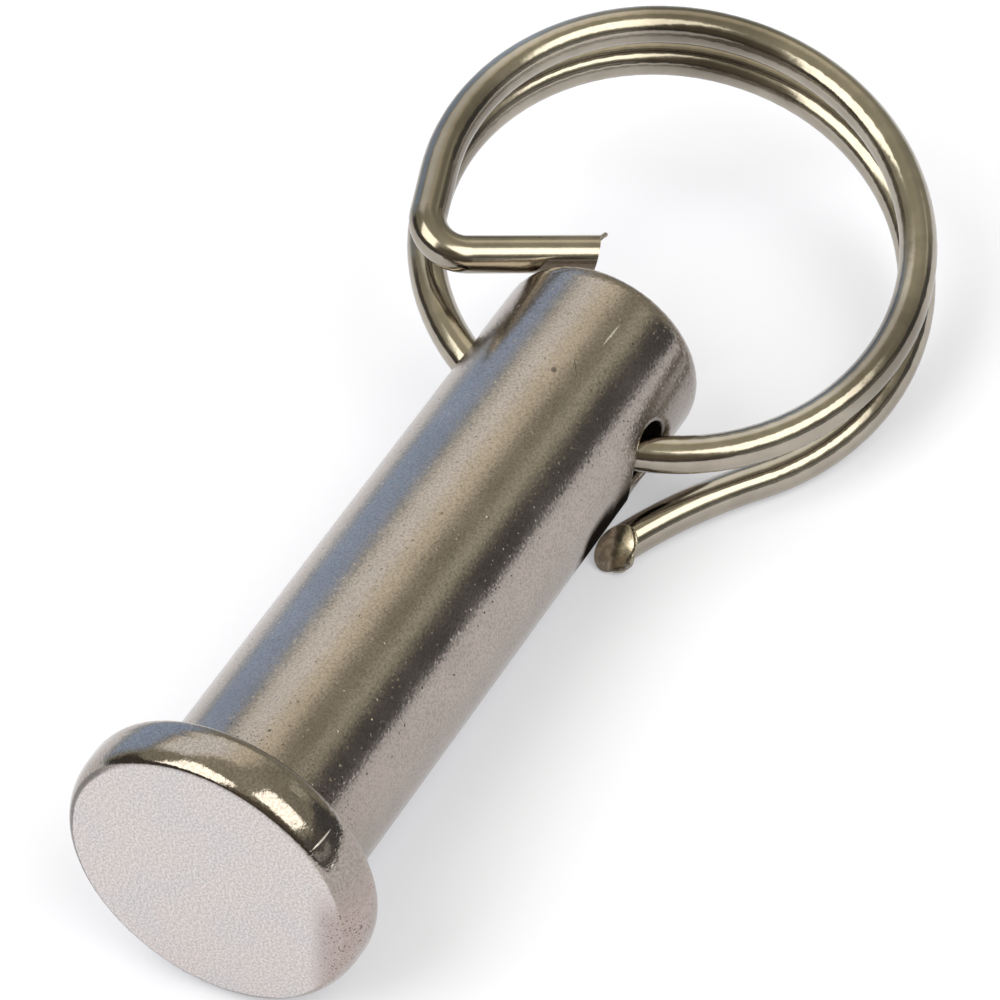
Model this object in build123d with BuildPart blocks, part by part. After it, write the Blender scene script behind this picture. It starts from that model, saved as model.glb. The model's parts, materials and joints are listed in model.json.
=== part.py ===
"""Clevis pin with its split ring, lying as it comes to rest.

The pin is one turned and headed bar with a cross hole near its tip. The ring is one spring
wire wound a little over one and a half turns, with a short leg at each end: the chord leg
crosses beside the pin's tip and the kicked leg comes back along the shank's side.
Millimetres and degrees, +Z up, floor at Z = 0, +X from the head to the tip.
"""
import os
from math import atan, degrees, hypot, pi

from build123d import *

os.makedirs("parts", exist_ok=True)

# Pin: a bar with a round head, every station measured from the head's underside
shank_r = 4.0
shank_length = 27.9
tip_round_length = 0.65
tip_round_depth = 0.28
head_r = 5.75
head_thickness = 2.0
face_r = 5.2
face_round_length = 1.2
seat_round_length = 0.5
seat_round_depth = 0.2
neck_fillet = 0.25

# Cross hole, rounded off at both mouths
hole_r = 1.4
hole_station = 23.83
hole_deburr = 0.25

# Ring: one wire, wound as a slightly opening coil, with a leg bent from each end
wire_r = 0.71
coil_r = 9.19
coil_growth = 0.21
coil_pitch = 2.46
turns_before_hole = 0.8046
turns_after_hole = 0.858
bend_lead = 2.0
bend_r = 1.3
bend_angle = 110.2
chord_leg = 5.17
chord_dip = 10.5
chord_cut = 15
kick_r = 19.0
kick_angle = 20.9
kick_lift = 13.7
kick_cut = 45

# How the ring sits in the hole
ring_set_back = 0.44
ring_swing = 11.5
ring_yaw = 2.2

# How the assembly lies: head rim, tip edge and the ring's outer coil touch the floor
pin_slope = 3.6
pin_roll = 11.76
axis_height = 5.71
middle_x = 20.099
middle_y = -0.637

lying = Plane(
    Location((-middle_x, -middle_y, axis_height))
    * Location((0, 0, 0), (0, pin_slope, 0))
    * Location((0, 0, 0), (pin_roll, 0, 0))
)
pin_axis = Axis(lying.origin, lying.x_dir)
hole_centre = lying.from_local_coords((hole_station, 0, 0))
hole_plane = Plane(origin=hole_centre, x_dir=lying.x_dir, z_dir=lying.y_dir)

# The clevis pin: a half section turned about its axis, then drilled and rounded at the mouths
with BuildPart() as clevis_pin:
    with BuildSketch(lying):
        with BuildLine():
            Polyline((shank_length, 0), (-head_thickness, 0), (-head_thickness, face_r))
            EllipticalCenterArc(
                (face_round_length - head_thickness, face_r),
                face_round_length,
                head_r - face_r,
                start_angle=90,
                arc_size=90,
            )
            Line((face_round_length - head_thickness, head_r), (-seat_round_length, head_r))
            EllipticalCenterArc(
                (-seat_round_length, head_r - seat_round_depth),
                seat_round_length,
                seat_round_depth,
                arc_size=90,
            )
            Polyline(
                (0, head_r - seat_round_depth),
                (0, shank_r),
                (shank_length - tip_round_length, shank_r),
            )
            EllipticalCenterArc(
                (shank_length - tip_round_length, shank_r - tip_round_depth),
                tip_round_length,
                tip_round_depth,
                arc_size=90,
            )
            Line((shank_length, shank_r - tip_round_depth), (shank_length, 0))
        make_face()
    revolve(axis=pin_axis)
    shank_rims = clevis_pin.edges().filter_by(
        lambda edge: edge.geom_type == GeomType.CIRCLE and abs(edge.radius - shank_r) < 0.01
    )
    fillet(shank_rims.sort_by(pin_axis)[0], neck_fillet)
    with BuildSketch(hole_plane):
        Circle(hole_r)
    extrude(amount=head_r, both=True, mode=Mode.SUBTRACT)
    hole_wall = clevis_pin.faces().filter_by(
        lambda face: face.geom_type == GeomType.CYLINDER and abs(face.radius - hole_r) < 0.01
    )
    mouths = hole_wall.edges().filter_by(GeomType.LINE, reverse=True)
    fillet(mouths, hole_deburr)
clevis_pin.part.label = "clevis_pin"
export_step(clevis_pin.part, "parts/clevis_pin.step")

# The ring's own frame: X from the hole to the ring's middle, Z out of its upper side
lead = degrees(atan(coil_pitch / (2 * pi * coil_r)))
ring_frame = Plane(
    lying.location
    * Location((hole_station, 0, 0))
    * Location((0, 0, 0), (0, -ring_swing, 0))
    * Location((0, 0, 0), (lead, 0, 0))
    * Location((0, 0, 0), (0, 0, -ring_yaw))
)
coil_turns = turns_before_hole + turns_after_hole
coil_height = coil_pitch * coil_turns
coil_seat = Plane(
    ring_frame.location
    * Location((coil_r - ring_set_back, 0, coil_pitch * turns_before_hole))
    * Location((0, 0, 0), (180, 0, 0))
    * Location((0, 0, 0), (0, 0, 180 - 360 * turns_before_hole))
)
# the coil climbs a slightly opening cone, so the helix takes its pitch along the cone's slope
coil = coil_seat.location * Helix(
    pitch=hypot(coil_pitch, coil_growth),
    height=coil_height,
    radius=coil_r - coil_growth * turns_before_hole,
    cone_angle=degrees(atan(coil_growth / coil_pitch)),
)


def plane_along(origin, heading, roll):
    """A plane at origin whose X follows heading: flat to the ring, then rolled about X."""
    side = ring_frame.z_dir.cross(heading)
    flat = Plane(origin=origin, x_dir=heading, z_dir=heading.cross(side))
    return Plane(flat.location * Location((0, 0, 0), (roll, 0, 0)))


chord_plane = plane_along(coil @ 0, -(coil % 0), -chord_dip)
kick_plane = plane_along(coil @ 1, coil % 1, kick_lift)

# The split ring: a round section swept along chord leg, bend, coil and kicked leg
with BuildPart() as split_ring:
    with BuildLine(chord_plane) as chord_path:
        Line((0, 0), (bend_lead, 0))
        bend = JernArc((bend_lead, 0), (1, 0), bend_r, bend_angle)
        Line(bend @ 1, bend @ 1 + bend % 1 * chord_leg)
    with BuildLine(kick_plane) as kick_path:
        JernArc((0, 0), (1, 0), kick_r, kick_angle)
    wire_path = Wire(chord_path.edges() + coil.edges() + kick_path.edges())
    with BuildSketch(Plane(origin=wire_path @ 0, z_dir=wire_path % 0)):
        Circle(wire_r)
    sweep(path=wire_path)
    # both ends were nipped off at a slant: the chord leg's outer side and the kicked leg's
    # underside stay longest
    chord_end = Plane(origin=wire_path @ 1, x_dir=ring_frame.z_dir, z_dir=wire_path % 1)
    kick_end = Plane(origin=wire_path @ 0, x_dir=ring_frame.z_dir, z_dir=-(wire_path % 0))
    chord_nip = chord_end.location * Location((0, -wire_r, 0), (-chord_cut, 0, 0))
    kick_nip = kick_end.location * Location((-wire_r, 0, 0), (0, kick_cut, 0))
    with BuildSketch(Plane(chord_nip), Plane(kick_nip)):
        Rectangle(6 * wire_r, 6 * wire_r)
    extrude(amount=1.6 * wire_r, mode=Mode.SUBTRACT)
split_ring.part.label = "split_ring"
export_step(split_ring.part, "parts/split_ring.step")
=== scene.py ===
"""Clevis pin with its split ring: metal finishes, nipped ends, studio and camera.

The file is laid out as an add-on and is run as a script. Lengths are metres and angles are
radians inside the functions; +X runs from the pin's head to its tip and +Z is up.
"""
import json
import math

import bmesh
import bpy
import numpy as np
from mathutils import Euler, Matrix, Vector


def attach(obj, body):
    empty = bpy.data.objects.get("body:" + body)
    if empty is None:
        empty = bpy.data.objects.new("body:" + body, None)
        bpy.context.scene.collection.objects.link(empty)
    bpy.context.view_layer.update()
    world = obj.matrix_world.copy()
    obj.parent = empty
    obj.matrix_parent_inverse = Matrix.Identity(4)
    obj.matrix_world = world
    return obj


bl_info = {
    "name": "Clevis pin and split ring",
    "version": (1, 0, 0),
    "blender": (4, 5, 0),
    "location": "3D View > Sidebar > Clevis pin",
    "description": "Finishes a clevis pin and its ring, and sets them on a pale table under two windows",
    "category": "Object",
}

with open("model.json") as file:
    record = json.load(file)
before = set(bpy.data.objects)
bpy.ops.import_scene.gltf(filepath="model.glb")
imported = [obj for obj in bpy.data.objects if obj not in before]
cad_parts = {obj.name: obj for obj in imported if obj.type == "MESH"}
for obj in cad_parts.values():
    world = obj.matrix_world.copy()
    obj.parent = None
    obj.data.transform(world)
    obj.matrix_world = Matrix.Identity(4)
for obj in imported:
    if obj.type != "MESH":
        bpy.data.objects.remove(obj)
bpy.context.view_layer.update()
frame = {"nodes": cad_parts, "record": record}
MOUNTS = {mount["name"]: mount for mount in frame["record"]["mounts"]}
FACE_CENTRE = Vector(MOUNTS["head_face"]["pos_m"])
PIN_AXIS = -Vector(MOUNTS["head_face"]["axis"]).normalized()
PIN_TURN = Matrix.LocRotScale(FACE_CENTRE, PIN_AXIS.to_track_quat("X", "Z"), None)
MM = 0.001
SHANK_R = 4.0 * MM
WIRE_R = 0.71 * MM
HEAD_DEPTH = 2.0 * MM

# Places where shade is painted on the wire: the cross hole's near mouth, and the crevice below it
HOLE_MOUTH = (2.6 * MM, -3.9 * MM, 4.9 * MM)
CREVICE = (3.75 * MM, -2.5 * MM, 2.0 * MM)

# How strongly a nipped end is crowned, and how far the crown's top lies from its middle
CROWN = 0.3
CROWN_SHIFT = (-0.36 * MM, 0.54 * MM, -0.08 * MM)

# The scale of each noise, in noise cells to the metre
GRAIN = 9000
SPECKS = 11000
RUFFLES = 8500
PIN_CLOUDS = 500
WIRE_CLOUDS = 900
TEARS = 3600
RIDGES = {"bright": 6000, "dull": 5000}

# Colours of dirt and wear, and of painted shade, painted dark reflections and a painted highlight
# Black for the real stains and for the painted shade on the pin
STAIN_AND_SHADE_BLACK = (0.03, 0.025, 0.022, 1)
# What the metal mirrors at a glancing angle under the stains and the painted shade: a painted dark
# reflection
GLANCING_BLACK = (0.02, 0.02, 0.02, 1)
# Painted shade on the wire by the cross hole
WIRE_SHADE = (0.05, 0.04, 0.03, 1)
# Brown for the darker stretches of wire
WIRE_BROWN = (0.06, 0.045, 0.03, 1)
PIT_BROWN = (0.13, 0.085, 0.065, 1)
# Painted shade for the face's lower right edge
EDGE_SHADE_RED = (0.45, 0.37, 0.345, 1)
# Painted shade along the face's edge
FACE_EDGE_SHADE = (0.08, 0.075, 0.07, 1)
# Painted highlight along the nicks
NICK_HIGHLIGHT = (0.86, 0.84, 0.78, 1)
WHITE = (1, 1, 1, 1)


# ---------------------------------------------------------------------------------------
# Small helpers for node trees
# ---------------------------------------------------------------------------------------


class Tree:
    """Adds nodes to a shader tree and hands back their first output."""

    def __init__(self, owner):
        owner.use_nodes = True
        self.tree = owner.node_tree
        self.tree.nodes.clear()

    def add(self, kind, *feeds, out=0, named=None, **settings):
        """One node: feeds are values or sockets for its inputs in order, None leaves one alone."""
        made = self.tree.nodes.new(kind)
        for key, value in settings.items():
            setattr(made, key, value)
        for place, value in [*enumerate(feeds), *(named or {}).items()]:
            if isinstance(value, bpy.types.NodeSocket):
                self.tree.links.new(value, made.inputs[place])
            elif value is not None:
                made.inputs[place].default_value = value
        return made.outputs[out]

    def finish(self, kind, light):
        """The tree's output node, fed with light."""
        self.tree.links.new(light, self.tree.nodes.new(kind).inputs[0])

    def split(self, vector):
        """The three components of vector."""
        return self.add("ShaderNodeSeparateXYZ", vector).node.outputs[:3]

    def maths(self, operation, *feeds):
        """A Math node."""
        return self.add("ShaderNodeMath", *feeds, operation=operation)

    def vectors(self, operation, *feeds, out=0):
        """A Vector Math node."""
        return self.add("ShaderNodeVectorMath", *feeds, operation=operation, out=out)

    def product(self, *factors):
        """All the factors multiplied together."""
        result = factors[0]
        for factor in factors[1:]:
            result = self.maths("MULTIPLY", result, factor)
        return result

    def ramp(self, value, low, high, to_low=0.0, to_high=1.0):
        """value eased smoothly from to_low to to_high while it runs from low to high."""
        return self.add(
            "ShaderNodeMapRange", value, low, high, to_low, to_high, interpolation_type="SMOOTHSTEP"
        )

    def mix(self, share, first, second):
        """Numbers first and second mixed by share."""
        return self.add("ShaderNodeMix", named={0: share, 2: first, 3: second})

    def blend(self, share, first, second, blend_type="MIX"):
        """Colours first and second mixed by share."""
        return self.add(
            "ShaderNodeMix",
            named={0: share, 6: first, 7: second},
            data_type="RGBA",
            blend_type=blend_type,
            out=2,
        )

    def noise(self, vector, scale, detail=2.0, roughness=0.5):
        """Cloudy noise about the middle value 0.5."""
        return self.add(
            "ShaderNodeTexNoise",
            named={"Vector": vector, "Scale": scale, "Detail": detail, "Roughness": roughness},
        )

    def ruffle(self, vector, scale, calm, wild):
        """The surface's normal tipped to and fro by fine noise.

        It tips by about calm everywhere, and by up to wild at the noise's few high peaks.
        """
        cloud = self.add(
            "ShaderNodeTexNoise", named={"Vector": vector, "Scale": scale, "Detail": 1.0}, out=1
        )
        tip = self.vectors("SUBTRACT", cloud, (0.5, 0.5, 0.5))
        peaks = self.ramp(self.noise(vector, 0.8 * scale, 0.0), 0.70, 0.80)
        leaning = self.add(
            "ShaderNodeVectorMath",
            tip,
            named={"Scale": self.mix(peaks, calm, wild)},
            operation="SCALE",
        )
        return self.leaning(leaning)

    def leaning(self, lean):
        """The surface's normal with the vector lean added to it."""
        normal = self.add("ShaderNodeNewGeometry", out=1)
        return self.vectors("NORMALIZE", self.vectors("ADD", normal, lean))

    def steel(self, colour, roughness, normal, glance=WHITE):
        """The output of a metal; glance is the tint of what it mirrors at a glancing angle."""
        self.finish(
            "ShaderNodeOutputMaterial",
            self.add(
                "ShaderNodeBsdfPrincipled",
                named={
                    "Base Color": colour,
                    "Metallic": 1.0,
                    "Specular Tint": glance,
                    "Roughness": roughness,
                    "Normal": normal,
                },
            ),
        )


def tone(colour, gain=1.0):
    """A colour with its alpha, made lighter or darker by gain."""
    return (*[min(1.0, part * gain) for part in colour], 1.0)


def finish_with(name, piece, build):
    """Makes the material that build draws and puts it on the piece's only slot."""
    material = bpy.data.materials.new(name)
    build(Tree(material))
    piece.data.materials.clear()
    piece.data.materials.append(material)


def on_pin(shader):
    """Object coordinates turned so that x runs down the pin from its face and y, z lie across it."""
    return shader.add(
        "ShaderNodeMapping",
        shader.add("ShaderNodeTexCoord", out=3),
        tuple(PIN_TURN.translation),
        tuple(PIN_TURN.to_euler()),
        vector_type="TEXTURE",
    )


# ---------------------------------------------------------------------------------------
# Settings
# ---------------------------------------------------------------------------------------


def colour_setting(name, description, default):
    """A colour without alpha."""
    return bpy.props.FloatVectorProperty(
        name=name, description=description, subtype="COLOR", size=3, min=0, max=1, default=default
    )


def length_setting(name, description, default, low, high):
    """A length in metres between low and high."""
    return bpy.props.FloatProperty(
        name=name,
        description=description,
        subtype="DISTANCE",
        unit="LENGTH",
        default=default,
        min=low,
        max=high,
        precision=6,
    )


def angle_setting(name, description, default):
    """An angle, with its default given in degrees."""
    return bpy.props.FloatProperty(
        name=name,
        description=description,
        subtype="ANGLE",
        unit="ROTATION",
        default=math.radians(default),
    )


class PinSettings(bpy.types.PropertyGroup):
    """Finish of the turned pin."""

    steel: colour_setting("Steel", "Colour of the tumbled steel", (0.36, 0.318, 0.284))
    face: colour_setting("Head face", "Colour of the head's matt face", (0.65, 0.61, 0.60))
    grain: length_setting("Grain", "Height of the tumbled grain", 4e-6, 0, 1e-4)


class RingSettings(bpy.types.PropertyGroup):
    """Finish and nipped ends of the spring wire."""

    wire: colour_setting("Wire", "Colour of the drawn wire", (0.39, 0.35, 0.29))
    cut: colour_setting("Cut end", "Colour of the wire's torn cuts", (0.47, 0.41, 0.32))
    burr: length_setting("Burr", "Thickness of the burr round a nipped end", 0.05 * MM, 0, 0.2 * MM)


class StageSettings(bpy.types.PropertyGroup):
    """Table, light and camera."""

    bearing: angle_setting("Camera bearing", "Camera's way round the pin, from -Y towards +X", -56.41)
    height: angle_setting("Camera elevation", "Angle of the camera above the table", 45.84)
    lean: angle_setting("Camera lean", "Turn of the camera about its own line of sight", -8.31)
    distance: length_setting("Camera distance", "From the aim point to the camera", 0.22874, 0.05, 5)
    aim: bpy.props.FloatVectorProperty(
        name="Aim",
        description="Point that the camera looks at",
        subtype="XYZ",
        unit="LENGTH",
        size=3,
        precision=6,
        default=(0.001034, 0.001774, 0.001849),
    )
    lens: bpy.props.FloatProperty(
        name="Lens",
        description="Focal length on a 36 mm sensor",
        unit="CAMERA",
        default=223.5,
        min=20,
        max=400,
    )


# ---------------------------------------------------------------------------------------
# Pin
# ---------------------------------------------------------------------------------------

# Marks of use and painted shade: distance from the face, turn round the axis from the top towards +Y,
# reach along and reach across (mm and degrees), the mark's own slant, and its depth of tone. The first
# two rows of the first table are painted shade, the chord leg's shadow and dark reflection on the tip;
# the rest of that table are real specks and stains. The second table is painted shade: the kicked leg's
# dark reflection and shadow on the shank, between the cross hole and the kicked leg's end.
STAINS_AND_CHORD_SHADE = (
    (24.36, -15.0, 0.17, 0.13, 0, 0.55),
    (24.95, -23.6, 0.50, 0.035, 36, 0.55),
    (3.82, 9.9, 0.10, 0.05, 20, 0.6),
    (4.05, -9.7, 0.09, 0.05, -30, 0.6),
    (3.30, 2.0, 0.05, 0.05, 0, 0.5),
    (0.13, -53.8, 0.09, 0.07, 0, 0.9),
)
# Painted shade: the kicked leg's dark reflection and shadow on the shank, painted black
KICK_LEG_SHADE = (
    (21.90, -106.0, 2.3, 1.2, 4, 0.98),
    (23.70, -112.0, 1.9, 1.5, 0, 0.98),
)
# How far the painted shade's outline wanders along the pin
SHADE_DRIFT = 0.5 * MM
# Real nicks, each also given a painted highlight, with the same columns as the tables above
NICKS_AND_GLINTS = (
    (0.72, -53.2, 0.56, 0.028, 1, 1.0),
    (0.45, -62.7, 0.10, 0.03, 10, 0.7),
    (27.20, -28.6, 0.75, 0.045, -2, 0.8),
)


def marks(shader, spread, table):
    """The strongest of the table's oval marks at each point of the pin's unrolled surface."""
    total = None
    for station, turn, along, across, slant, depth in table:
        centre = (station * MM, math.radians(turn) * SHANK_R, 0)
        local = shader.add(
            "ShaderNodeMapping",
            spread,
            centre,
            (0, 0, math.radians(slant)),
            (along * MM, across * MM, 1),
            vector_type="TEXTURE",
        )
        mask = shader.ramp(shader.vectors("LENGTH", local, out=1), 0.45, 1.0, depth, 0.0)
        total = mask if total is None else shader.maths("MAXIMUM", total, mask)
    return total


class CLEVIS_OT_finish_pin(bpy.types.Operator):
    """Gives the pin its tumbled steel, glossier head rim, matt face, marks of use, and painted shade and
    highlights
    """

    bl_idname = "clevis.finish_pin"
    bl_label = "Finish pin"

    def execute(self, context):
        settings = context.scene.clevis_pin

        def build(shader):
            place = on_pin(shader)
            station, side, up = shader.split(place)
            arc = shader.maths("MULTIPLY", shader.maths("ARCTAN2", side, up), SHANK_R)
            spread = shader.add("ShaderNodeCombineXYZ", station, arc)
            low = shader.ramp(up, -3.5 * MM, 0.5 * MM, 1.0, 0.0)
            face = shader.ramp(station, 0.015 * MM, 0.06 * MM, 1.0, 0.0)
            # The face's lower right edge, where a wider rounding is painted as darker, pinker shade and
            # pits gather
            chord = shader.maths("ADD", shader.product(side, -0.99), shader.product(up, -0.11))
            edge_shade_and_wear = shader.product(
                shader.ramp(chord, 3.9 * MM, 4.9 * MM), shader.ramp(up, 0, 2 * MM, 1.0, 0.0)
            )
            rim = shader.ramp(station, HEAD_DEPTH - 0.3 * MM, HEAD_DEPTH, 1.0, 0.0)
            fine = shader.noise(place, SPECKS, 1.0)
            grain = shader.noise(place, GRAIN, 2.0, 0.6)
            clouds = shader.noise(place, PIN_CLOUDS, 3.0, 0.55)
            drift = shader.ramp(clouds, 0.3, 0.7, -SHADE_DRIFT, SHADE_DRIFT)
            # The painted shade's outline made ragged by noise
            smeared_shade = shader.add("ShaderNodeCombineXYZ", shader.maths("ADD", station, drift), arc)
            stains_and_shade = shader.maths(
                "MAXIMUM", marks(shader, spread, STAINS_AND_CHORD_SHADE), marks(shader, smeared_shade, KICK_LEG_SHADE)
            )
            nicks_and_glints = marks(shader, spread, NICKS_AND_GLINTS)
            collar = shader.ramp(station, HEAD_DEPTH, 8.0 * MM, 0.9, 0.1)
            bevel = shader.maths("SUBTRACT", 1.0, face)
            soiled = shader.mix(rim, collar, shader.product(low, bevel, 0.8))
            pits = shader.product(
                shader.ramp(fine, 0.57, 0.69), shader.maths("MAXIMUM", edge_shade_and_wear, soiled)
            )
            # Where the face's edge gets a painted dark reflection, on one side
            edge = shader.product(
                shader.ramp(station, 0.0, 0.02 * MM),
                shader.ramp(station, 0.10 * MM, 0.16 * MM, 1.0, 0.0),
                shader.ramp(shader.maths("ADD", side, shader.maths("MULTIPLY", up, -0.6)), 0, 2 * MM),
            )

            colour = shader.blend(
                shader.ramp(clouds, 0.3, 0.7), tone(settings.steel, 0.95), tone(settings.steel, 1.05)
            )
            colour = shader.blend(rim, colour, tone(settings.steel, 0.93))
            blush = shader.blend(
                shader.ramp(clouds, 0.35, 0.65), (0.975, 0.995, 1.01, 1), (1.02, 1.0, 0.99, 1)
            )
            matt = shader.blend(1.0, tone(settings.face), blush, "MULTIPLY")
            colour = shader.blend(face, colour, matt)
            # Painted shade: the face's lower right edge darker and pinker, as a wider rounding would
            # look
            colour = shader.blend(shader.product(edge_shade_and_wear, 0.75), colour, EDGE_SHADE_RED)
            speckle = shader.blend(
                shader.ramp(fine, 0.3, 0.7), (0.83, 0.82, 0.81, 1), (1.15, 1.15, 1.15, 1)
            )
            colour = shader.blend(1.0, colour, speckle, "MULTIPLY")
            colour = shader.blend(pits, colour, PIT_BROWN)
            # Real stains, and the legs' dark reflection and shadow painted black
            colour = shader.blend(stains_and_shade, colour, STAIN_AND_SHADE_BLACK)
            # Painted shade: a dark line round one side of the face's edge
            colour = shader.blend(shader.product(edge, 0.7), colour, FACE_EDGE_SHADE)
            # Painted highlight: a bright streak along each nick
            colour = shader.blend(shader.product(nicks_and_glints, 0.8), colour, NICK_HIGHLIGHT)

            roughness = shader.ramp(clouds, 0.3, 0.7, 0.17, 0.22)
            roughness = shader.mix(rim, roughness, 0.10)
            roughness = shader.mix(face, roughness, 0.50)
            roughness = shader.mix(nicks_and_glints, roughness, 0.45)
            roughness = shader.mix(stains_and_shade, roughness, 0.5)

            relief = shader.maths(
                "ADD", grain, shader.maths("MULTIPLY", shader.maths("ADD", nicks_and_glints, stains_and_shade), 2.5)
            )
            calm, wild = shader.mix(rim, 0.10, 0.04), shader.mix(rim, 1.3, 0.3)
            tipped = shader.ruffle(place, RUFFLES, calm, wild)
            bumped = shader.add(
                "ShaderNodeBump",
                named={
                    "Strength": 1.0,
                    "Distance": settings.grain,
                    "Height": relief,
                    "Normal": tipped,
                },
            )
            # Under the stains and the painted shade the metal mirrors black at a glancing angle: a
            # painted dark reflection
            glance = shader.blend(stains_and_shade, WHITE, GLANCING_BLACK)
            shader.steel(colour, roughness, bumped, glance)

        finish_with("tumbled_steel", frame["nodes"]["clevis_pin"], build)
        return {"FINISHED"}


# ---------------------------------------------------------------------------------------
# Ring
# ---------------------------------------------------------------------------------------


# Faces lie in one flat when their normals and their planes' distances agree to these steps
FLAT_TURN = 1e-3
FLAT_DEPTH = 1e-6


def nipped_ends():
    """The flat cuts at the wire's two ends, read from the ring's own mesh, the lower one first.

    Faces with the same normal n and the same n . centre make up one flat, and the two flats as
    large as the wire's section are the cuts. The corners of a cut lie on an ellipse, so with
    x and y in its plane a x^2 + b xy + c y^2 + d x + e y = 1, and least squares give its middle
    and its long axis, the slant, which is turned towards the rest of the wire.
    """
    mesh = frame["nodes"]["split_ring"].data
    count = len(mesh.polygons)
    centre, normal, area = (np.empty(size, np.float32) for size in (3 * count, 3 * count, count))
    mesh.polygons.foreach_get("center", centre)
    mesh.polygons.foreach_get("normal", normal)
    mesh.polygons.foreach_get("area", area)
    vertex = np.empty(3 * len(mesh.vertices), np.float32)
    mesh.vertices.foreach_get("co", vertex)
    corner = np.empty(len(mesh.loops), np.int32)
    mesh.loops.foreach_get("vertex_index", corner)
    centre, normal, vertex = (
        values.reshape(-1, 3).astype(float) for values in (centre, normal, vertex)
    )
    corner = corner.reshape(count, 3)

    depth = (centre * normal).sum(axis=1, keepdims=True)
    steps = np.round(np.hstack([normal / FLAT_TURN, depth / FLAT_DEPTH]))
    _, flat = np.unique(steps, axis=0, return_inverse=True)
    flat = flat.ravel()
    found = np.flatnonzero(np.bincount(flat, area) > 0.95 * np.pi * WIRE_R**2)
    if len(found) != 2:
        raise RuntimeError("the ring's mesh should have two flat cuts, not %d" % len(found))
    cuts = []
    for number in found:
        inside = flat == number
        facing = normal[inside].mean(axis=0)
        facing /= np.linalg.norm(facing)
        plane = np.linalg.svd(facing[None, :])[2][1:]
        rim = vertex[np.unique(corner[inside])]
        about = rim.mean(axis=0)
        x, y = plane @ (rim - about).T / WIRE_R
        terms = np.column_stack([x * x, x * y, y * y, x, y])
        a, b, c, d, e = np.linalg.lstsq(terms, np.ones(len(rim)), rcond=None)[0]
        form = np.array([[a, b / 2], [b / 2, c]])
        offset = -0.5 * np.linalg.solve(form, [d, e])
        weights, axes = np.linalg.eigh(form)
        middle = about + WIRE_R * offset @ plane
        slant = axes[:, 0] @ plane
        near = ~inside & (np.linalg.norm(centre - middle, axis=1) < 3 * WIRE_R)
        slant *= np.sign(slant @ (centre[near].mean(axis=0) - middle))
        cuts.append(
            {
                "middle": tuple(middle),
                "facing": tuple(facing),
                "slant": tuple(slant),
                "stretch": math.sqrt(weights[1] / weights[0]),
            }
        )
    return sorted(cuts, key=lambda cut: cut["middle"][2])


# Sections along a burr, corners in each, and where it sits as a share of the wire's radius
BURR_RINGS = 49
BURR_SIDES = 12
BURR_SEAT = 0.985


def burr(name, cut, start, stop, thick, lift, flare, build):
    """A thin ragged ridge along part of a nipped end's edge.

    The edge is the oval middle + 0.985 WIRE_R (cos a across + stretch sin a slant), for a from
    start to stop in degrees. A round section of radius thick * sin(pi s)^0.6 * (1 + waves)
    follows it, where s runs from 0 to 1 along the edge. At its middle the ridge leans out of
    the cut by lift and away from the wire by flare.
    """
    middle, facing, slant = (np.array(cut[key]) for key in ("middle", "facing", "slant"))
    across = np.cross(slant, facing)
    along = np.linspace(0.0, 1.0, BURR_RINGS)[:, None]
    angle = math.radians(start) + along * math.radians(stop - start)
    swell = np.sin(np.pi * along)
    out = np.cos(angle) * across + np.sin(angle) * slant
    oval = np.cos(angle) * across + cut["stretch"] * np.sin(angle) * slant
    ragged = 1 + 0.18 * np.sin(9 * along + 1) + 0.08 * np.sin(23 * along)
    radius = thick * np.clip(swell, 1e-3, 1) ** 0.6 * ragged
    line = middle + WIRE_R * BURR_SEAT * oval + facing * lift * swell**2 + out * flare * swell**2
    turn = np.linspace(0, 2 * np.pi, BURR_SIDES, endpoint=False)
    points = (
        line[:, None, :]
        + radius[:, None, :] * np.cos(turn)[None, :, None] * out[:, None, :]
        + radius[:, None, :] * np.sin(turn)[None, :, None] * facing[None, None, :]
    )
    rows, columns = points.shape[:2]
    grid = np.arange(rows * columns).reshape(rows, columns)
    ahead = np.roll(grid, -1, axis=1)
    quads = np.stack([grid[:-1], grid[1:], ahead[1:], ahead[:-1]], axis=-1).reshape(-1, 4)
    faces = quads.tolist() + [grid[0][::-1].tolist(), grid[-1].tolist()]
    mesh = bpy.data.meshes.new(name)
    mesh.from_pydata(points.reshape(-1, 3).tolist(), [], faces)
    mesh.validate()
    piece = bpy.data.objects.new(name, mesh)
    bpy.context.scene.collection.objects.link(piece)
    outwards(mesh)
    mesh.polygons.foreach_set("use_smooth", np.ones(len(mesh.polygons), dtype=bool))
    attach(piece, "ring")
    finish_with(name, piece, build)


def outwards(mesh):
    """Turns the faces of a closed mesh outwards."""
    shell = bmesh.new()
    shell.from_mesh(mesh)
    bmesh.ops.recalc_face_normals(shell, faces=shell.faces)
    shell.to_mesh(mesh)
    shell.free()


# Stretches of wire made darker and browner: the middle of each stretch and its reach
DARKER_STRETCHES = (
    ((10.2 * MM, 8.3 * MM, 9.4 * MM), 5.5 * MM),
    ((21.6 * MM, 2.6 * MM, 8.9 * MM), 4.5 * MM),
    ((11.5 * MM, -8.8 * MM, 4.0 * MM), 3.5 * MM),
)


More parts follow.
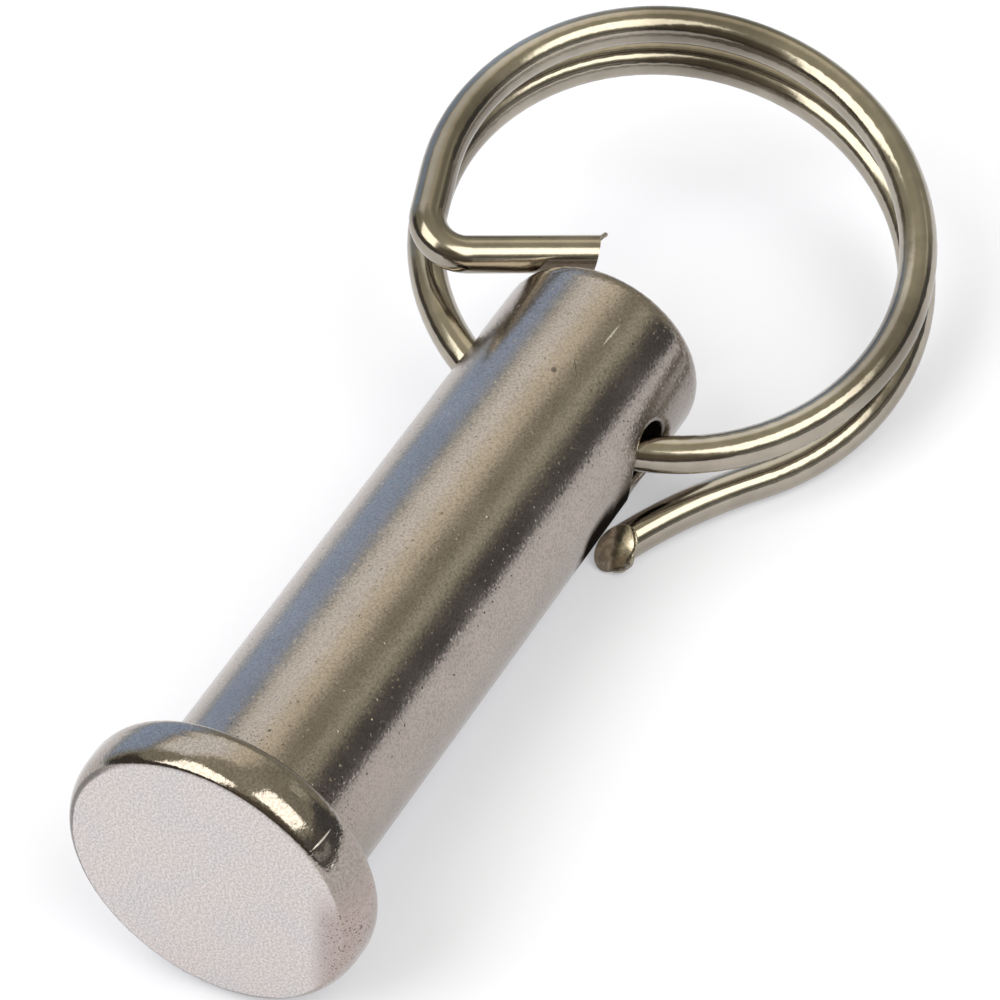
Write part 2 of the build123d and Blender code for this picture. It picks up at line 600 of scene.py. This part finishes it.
class CLEVIS_OT_finish_ring(bpy.types.Operator):
    """Gives the split ring its drawn wire, torn cuts and the burrs round them"""

    bl_idname = "clevis.finish_ring"
    bl_label = "Finish ring"

    def execute(self, context):
        settings = context.scene.clevis_ring
        kick_cut, chord_cut = nipped_ends()

        def torn(shader, place, cut):
            """A mask of the cut at one end of the wire, and the lean that crowns it."""
            away = shader.vectors("SUBTRACT", place, cut["middle"])
            depth = shader.vectors("DOT_PRODUCT", away, cut["facing"], out=1)
            near = shader.ramp(shader.vectors("LENGTH", away, out=1), 1.2 * MM, 1.3 * MM, 1.0, 0.0)
            mask = shader.product(shader.ramp(depth, -0.03 * MM, -0.01 * MM), near)
            dome = shader.add(
                "ShaderNodeVectorMath",
                shader.vectors("SUBTRACT", away, CROWN_SHIFT),
                named={"Scale": shader.maths("MULTIPLY", mask, CROWN / WIRE_R)},
                operation="SCALE",
            )
            return mask, dome

        def build(shader):
            place = shader.add("ShaderNodeTexCoord", out=3)
            grain = shader.noise(place, GRAIN, 2.0, 0.6)
            clouds = shader.noise(place, WIRE_CLOUDS, 3.0, 0.55)
            tears = shader.noise(place, TEARS, 2.0)
            kick, crown = torn(shader, place, kick_cut)
            chord, _ = torn(shader, place, chord_cut)
            cuts = shader.maths("MAXIMUM", chord, kick)
            # Painted shade: the wire darkened in the cross hole's mouth and in the crevice below it
            mouth = shader.vectors("DISTANCE", place, HOLE_MOUTH, out=1)
            crevice = shader.vectors("DISTANCE", place, CREVICE, out=1)
            hole_shade = shader.maths(
                "MAXIMUM",
                shader.ramp(mouth, 0.3 * MM, 1.3 * MM, 0.9, 0.0),
                shader.ramp(crevice, 0.5 * MM, 1.1 * MM, 0.95, 0.0),
            )
            brown = None
            for centre, reach in DARKER_STRETCHES:
                away = shader.vectors("DISTANCE", place, centre, out=1)
                patch = shader.ramp(away, 0.4 * reach, reach, 0.45, 0.0)
                brown = patch if brown is None else shader.maths("MAXIMUM", brown, patch)
            colour = shader.blend(
                shader.ramp(clouds, 0.3, 0.7), tone(settings.wire, 0.92), tone(settings.wire, 1.06)
            )
            ragged = shader.blend(
                shader.ramp(tears, 0.4, 0.6), tone(settings.cut, 0.85), tone(settings.cut, 1.25)
            )
            colour = shader.blend(brown, colour, WIRE_BROWN)
            colour = shader.blend(cuts, colour, ragged)
            # The painted shade laid over the wire
            colour = shader.blend(hole_shade, colour, WIRE_SHADE)
            roughness = shader.ramp(clouds, 0.3, 0.7, 0.13, 0.18)
            roughness = shader.mix(cuts, roughness, 0.22)
            relief = shader.maths("ADD", grain, shader.product(tears, cuts, 4.0))
            bumped = shader.add(
                "ShaderNodeBump",
                named={
                    "Strength": 1.0,
                    "Distance": 1.5e-6,
                    "Height": relief,
                    "Normal": shader.leaning(crown),
                },
            )
            shader.steel(colour, roughness, bumped)

        def bright(shader):
            place = shader.add("ShaderNodeTexCoord", out=3)
            patches = shader.ramp(shader.noise(place, RIDGES["bright"], 2.0), 0.35, 0.65)
            colour = shader.blend(patches, tone(settings.cut, 0.8), tone(settings.cut, 1.7))
            bumped = shader.add(
                "ShaderNodeBump", named={"Strength": 1.0, "Distance": 6e-6, "Height": patches}
            )
            shader.steel(colour, shader.ramp(patches, 0, 1, 0.18, 0.32), bumped)

        def dull(shader):
            place = shader.add("ShaderNodeTexCoord", out=3)
            patches = shader.ramp(shader.noise(place, RIDGES["dull"], 2.0), 0.35, 0.65)
            colour = shader.blend(patches, tone(settings.wire, 0.7), tone(settings.wire, 1.1))
            shader.steel(colour, shader.ramp(patches, 0, 1, 0.25, 0.4), None)

        finish_with("drawn_wire", frame["nodes"]["split_ring"], build)
        thick = settings.burr
        burr("kick_burr", kick_cut, -10, 100, 1.3 * thick, 0.05 * MM, 0.02 * MM, bright)
        burr("kick_corner", kick_cut, -45, 30, 2.6 * thick, 0, 0.12 * MM, dull)
        burr("chord_burr", chord_cut, 250, 350, 1.8 * thick, 0.20 * MM, 0.06 * MM, dull)
        return {"FINISHED"}


# ---------------------------------------------------------------------------------------
# Stage
# ---------------------------------------------------------------------------------------

# The room as the metal sees it: bearing of the patch's middle from +X towards +Y, half its
# width, its lowest and highest elevation, how softly it ends (all degrees), and its light
ROOM = (
    ("tan wall", 30, 41, 34, 66, 12, (1.19, 1.11, 0.89)),
    ("white wall", 46, 32, 36, 62, 12, (1.37, 1.38, 1.35)),
    ("blue wall", 56, 25, -20, 29, 12, (0.57, 0.73, 1.01)),
    ("lit shelf edge", -38, 8, 28, 38, 3, (0.77, 0.76, 0.61)),
    ("dark low wall", -94, 51, -20, 24, 5, (0.17, 0.165, 0.15)),
    ("lit sill", -100, 30, 8, 11, 2, (0.69, 0.68, 0.65)),
    ("dark table leg", -52, 13, -20, 24, 5, (0.13, 0.13, 0.13)),
    ("dark doorway", 161, 70, -20, 25, 5, (0.10, 0.09, 0.08)),
    ("dark corner", -160, 26, 15, 44, 8, (0.19, 0.16, 0.12)),
)

# The two window lamps: bearing and elevation in degrees, width and depth in metres
WINDOWS = (
    ("left_window", 149, 49, 0.60, 0.72),
    ("right_window", -103, 49.5, 0.64, 0.54),
)
WINDOW_AWAY = 0.9
WINDOW_LIGHT = 2.95
WINDOW_COLOUR = (1.0, 1.0, 0.92)

# The light of the room between the patches, from its walls up to its ceiling
WALLS = (0.44, 0.42, 0.335, 1)
CEILING = (0.58, 0.55, 0.43, 1)

# The pale table, its glow towards lens and metal, and the cool shade over its back edge
TABLE_NEAR = (0.70, 0.70, 0.79, 1)
TABLE_FAR = (0.30, 0.36, 0.46, 1)
TABLE_GLOW = (0.31, 0.32, 0.33, 1)
TABLE_BACK = (0.833, 0.553, 0)
TABLE_FADE = (27 * MM, 75 * MM)


class CLEVIS_OT_stage(bpy.types.Operator):
    """Sets the table, the room's light, two window lamps and the camera"""

    bl_idname = "clevis.stage"
    bl_label = "Stage"

    def execute(self, context):
        scene = context.scene
        self.table(scene)
        self.room(scene)
        for name, bearing, height, width, depth in WINDOWS:
            self.window(scene, name, math.radians(bearing), math.radians(height), width, depth)
        self.camera(scene)
        scene.view_settings.view_transform = "Standard"
        return {"FINISHED"}

    @staticmethod
    def table(scene):
        """A flat pale sheet four metres across, on which the part lies."""
        reach = 2.0
        corners = [(-reach, -reach, 0), (reach, -reach, 0), (reach, reach, 0), (-reach, reach, 0)]
        mesh = bpy.data.meshes.new("table")
        mesh.from_pydata(corners, [], [(0, 1, 2, 3)])
        table = bpy.data.objects.new("table", mesh)
        scene.collection.objects.link(table)
        material = bpy.data.materials.new("pale_table")
        shader = Tree(material)
        path = shader.add("ShaderNodeLightPath").node.outputs
        seen = shader.maths(
            "MAXIMUM",
            path["Is Camera Ray"],
            shader.maths("MAXIMUM", path["Is Glossy Ray"], path["Is Transmission Ray"]),
        )
        spot = shader.add("ShaderNodeTexCoord", out=3)
        back = shader.vectors("DOT_PRODUCT", spot, TABLE_BACK, out=1)
        shade = shader.ramp(back, *TABLE_FADE)
        paper = shader.add("ShaderNodeBsdfDiffuse", shader.blend(shade, TABLE_NEAR, TABLE_FAR))
        glow = shader.add("ShaderNodeEmission", TABLE_GLOW, seen)
        shader.finish("ShaderNodeOutputMaterial", shader.add("ShaderNodeAddShader", paper, glow))
        mesh.materials.append(material)

    @staticmethod
    def room(scene):
        """The world's light by direction: a plain gradient with soft-edged patches laid over it."""
        world = bpy.data.worlds.new("room")
        scene.world = world
        shader = Tree(world)
        ahead, across, up = shader.split(shader.add("ShaderNodeTexCoord", out=0))
        height = shader.maths("ARCSINE", up)
        bearing = shader.maths("ARCTAN2", across, ahead)
        above = shader.ramp(height, math.radians(35), math.radians(75))
        colour = shader.blend(above, WALLS, CEILING)
        for _, middle, half, low, high, soft, light in ROOM:
            middle, half, low, high, soft = map(math.radians, (middle, half, low, high, soft))
            turned = shader.maths("SUBTRACT", bearing, middle)
            away = shader.maths("ABSOLUTE", shader.maths("WRAP", turned, math.pi, -math.pi))
            share = shader.product(
                shader.ramp(away, half - soft, half + soft, 1.0, 0.0),
                shader.ramp(height, low - soft / 2, low + soft / 2),
                shader.ramp(height, high - soft / 2, high + soft / 2, 1.0, 0.0),
            )
            colour = shader.blend(share, colour, (*light, 1))
        shader.finish("ShaderNodeOutputWorld", shader.add("ShaderNodeBackground", colour, 1.0))

    @staticmethod
    def window(scene, name, bearing, height, width, depth):
        """A rectangular lamp that faces the part."""
        lamp = bpy.data.lights.new(name, "AREA")
        lamp.shape = "RECTANGLE"
        lamp.size = width
        lamp.size_y = depth
        lamp.energy = WINDOW_LIGHT * math.pi * width * depth
        lamp.color = WINDOW_COLOUR
        holder = bpy.data.objects.new(name, lamp)
        scene.collection.objects.link(holder)
        level = math.cos(height)
        away = Vector((level * math.cos(bearing), level * math.sin(bearing), math.sin(height)))
        holder.location = WINDOW_AWAY * away
        holder.rotation_euler = away.to_track_quat("Z", "Y").to_euler()

    @staticmethod
    def camera(scene):
        """A long lens that looks down on the head from beyond it, leaning a little."""
        settings = scene.clevis_stage
        eye = bpy.data.cameras.new("camera")
        eye.lens = settings.lens
        eye.sensor_width = 36
        eye.clip_start = 0.01
        eye.clip_end = 20
        holder = bpy.data.objects.new("camera", eye)
        scene.collection.objects.link(holder)
        turn = Euler((math.pi / 2 - settings.height, 0, settings.bearing), "XYZ").to_matrix()
        turn = turn @ Matrix.Rotation(settings.lean, 3, "Z")
        holder.location = Vector(settings.aim) + turn.col[2] * settings.distance
        holder.rotation_euler = turn.to_euler()
        scene.camera = holder


# ---------------------------------------------------------------------------------------
# Panel and registration
# ---------------------------------------------------------------------------------------


class CLEVIS_PT_panel(bpy.types.Panel):
    """Lists the steps and their settings"""

    bl_idname = "CLEVIS_PT_panel"
    bl_label = "Clevis pin"
    bl_space_type = "VIEW_3D"
    bl_region_type = "UI"
    bl_category = "Clevis pin"

    def draw(self, context):
        scene = context.scene
        for step, settings in STEPS:
            column = self.layout.column()
            column.operator(step.bl_idname)
            group = getattr(scene, settings)
            for name in group.__annotations__:
                column.prop(group, name)


STEPS = (
    (CLEVIS_OT_stage, "clevis_stage"),
    (CLEVIS_OT_finish_pin, "clevis_pin"),
    (CLEVIS_OT_finish_ring, "clevis_ring"),
)
SETTINGS = {"clevis_stage": StageSettings, "clevis_pin": PinSettings, "clevis_ring": RingSettings}


def register():
    """Registers the settings, the steps and the panel."""
    for name, group in SETTINGS.items():
        bpy.utils.register_class(group)
        setattr(bpy.types.Scene, name, bpy.props.PointerProperty(type=group))
    for step, _ in STEPS:
        bpy.utils.register_class(step)
    bpy.utils.register_class(CLEVIS_PT_panel)


def unregister():
    """Takes back all that register does."""
    bpy.utils.unregister_class(CLEVIS_PT_panel)
    for step, _ in STEPS:
        bpy.utils.unregister_class(step)
    for name, group in SETTINGS.items():
        delattr(bpy.types.Scene, name)
        bpy.utils.unregister_class(group)


def main():
    register()
    bpy.ops.clevis.stage()
    bpy.ops.clevis.finish_pin()
    bpy.ops.clevis.finish_ring()


if __name__ == "__main__":
    main()
